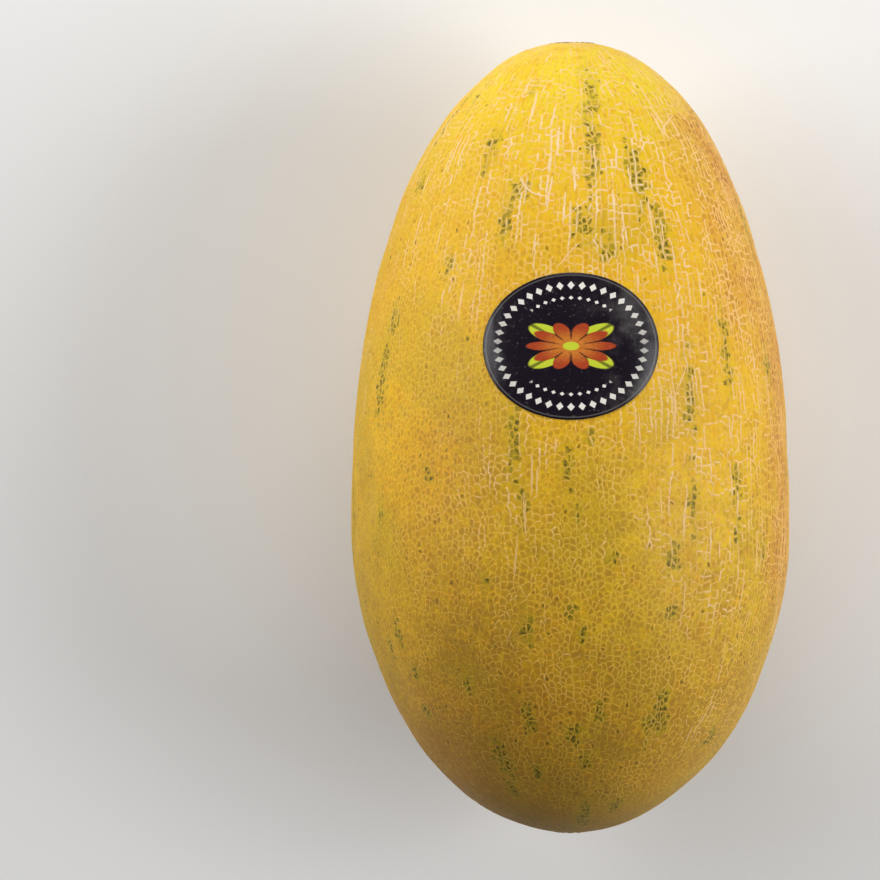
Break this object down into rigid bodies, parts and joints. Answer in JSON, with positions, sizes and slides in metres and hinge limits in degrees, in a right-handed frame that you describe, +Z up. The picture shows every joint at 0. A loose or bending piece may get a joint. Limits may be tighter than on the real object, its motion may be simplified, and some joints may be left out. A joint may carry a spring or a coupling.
{
  "type": "netted cantaloupe",
  "caption": "Whole netted cantaloupe of the long golden kind, lying on its side on a small flat ground spot, with an oval paper label.",
  "frame": {"origin": "on the surface it rests on, under the middle of its box", "axes": "+Y along the long axis towards the stem end, which dips a little; +Z up through the label's side; +X to the right seen from above with the stem end away"},
  "size_m": [0.1558, 0.2792, 0.1559],
  "materials": {
    "rind": "satin, waxy golden rind with a raised cork net",
    "label": "glossy printed paper"
  },
  "bodies": {
    "root": {"melon": "rind", "label": "label"}
  },
  "joints": []
}
